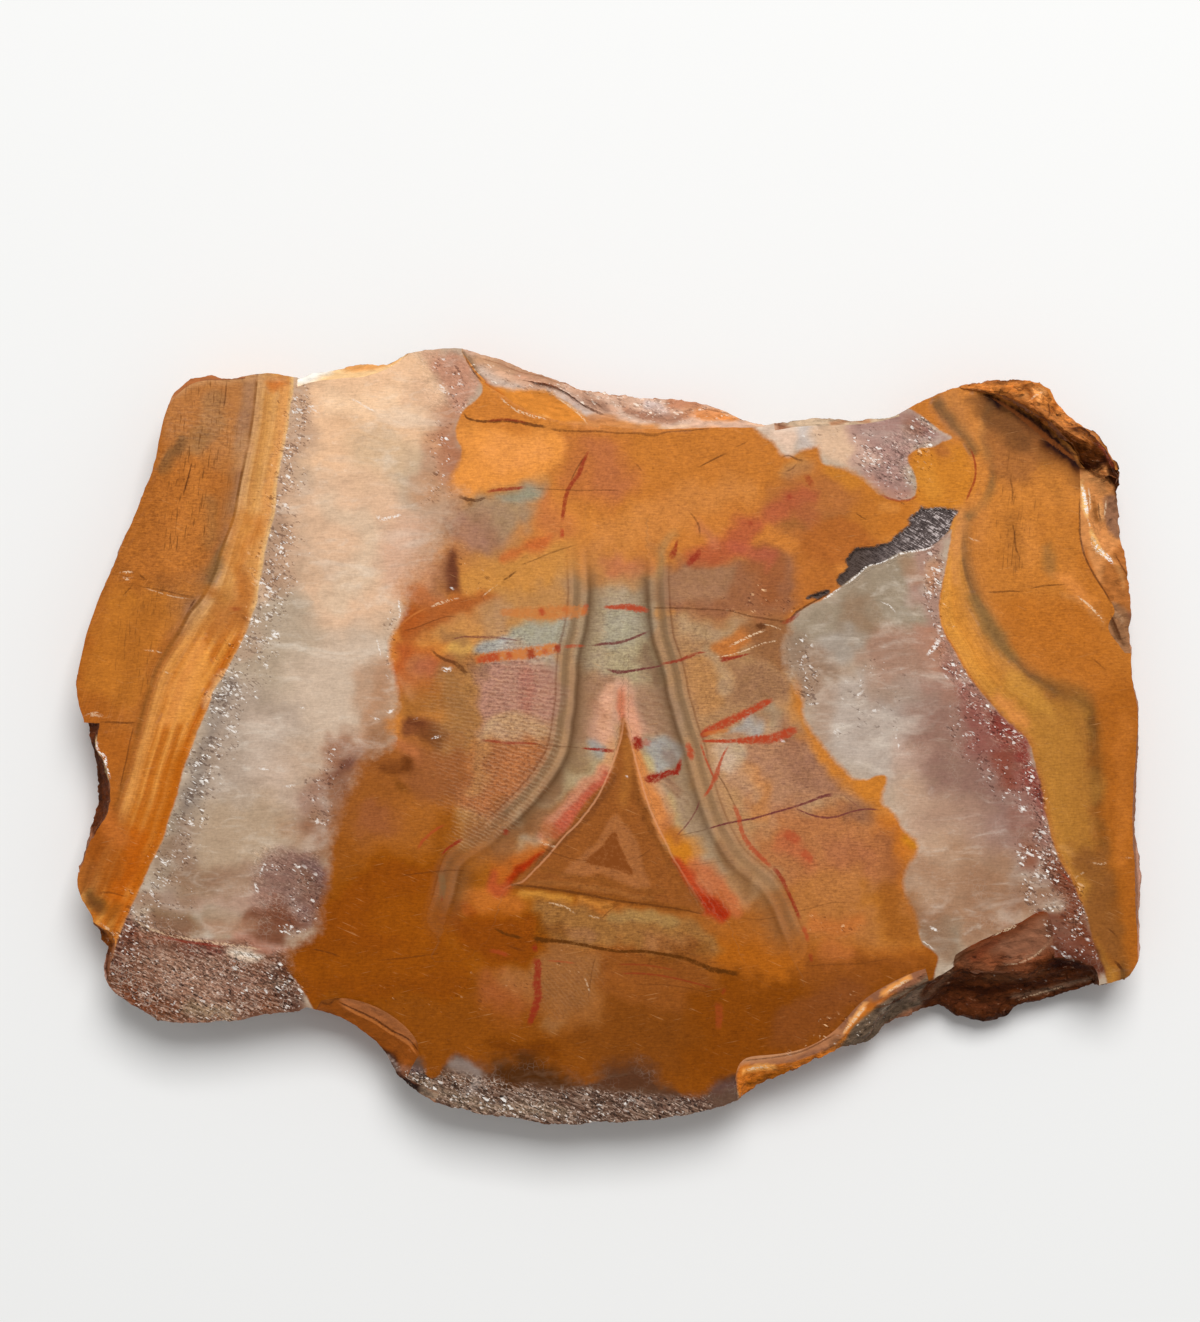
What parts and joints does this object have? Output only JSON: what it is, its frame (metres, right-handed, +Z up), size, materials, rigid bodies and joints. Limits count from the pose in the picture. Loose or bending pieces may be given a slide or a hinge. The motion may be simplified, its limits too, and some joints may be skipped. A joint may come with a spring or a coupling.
{
  "type": "agate slab",
  "caption": "Sawn slab of banded agate and jasper with flat faces, a rough natural rim, chipped edges and a broken-off ledge at one corner.",
  "frame": {"origin": "on the sawn underside, under the middle of the slab's outline", "axes": "+X along the slab's length, +Y towards the edge with the rough crust and the ledge, +Z up out of the smooth upper face"},
  "size_m": [0.107, 0.0776, 0.0093],
  "materials": {
    "agate": "smooth with a satin sheen on the sawn faces, rough and matt on the natural rim, waxy in the chips"
  },
  "bodies": {
    "root": {"agate_slab": "agate"}
  },
  "joints": []
}
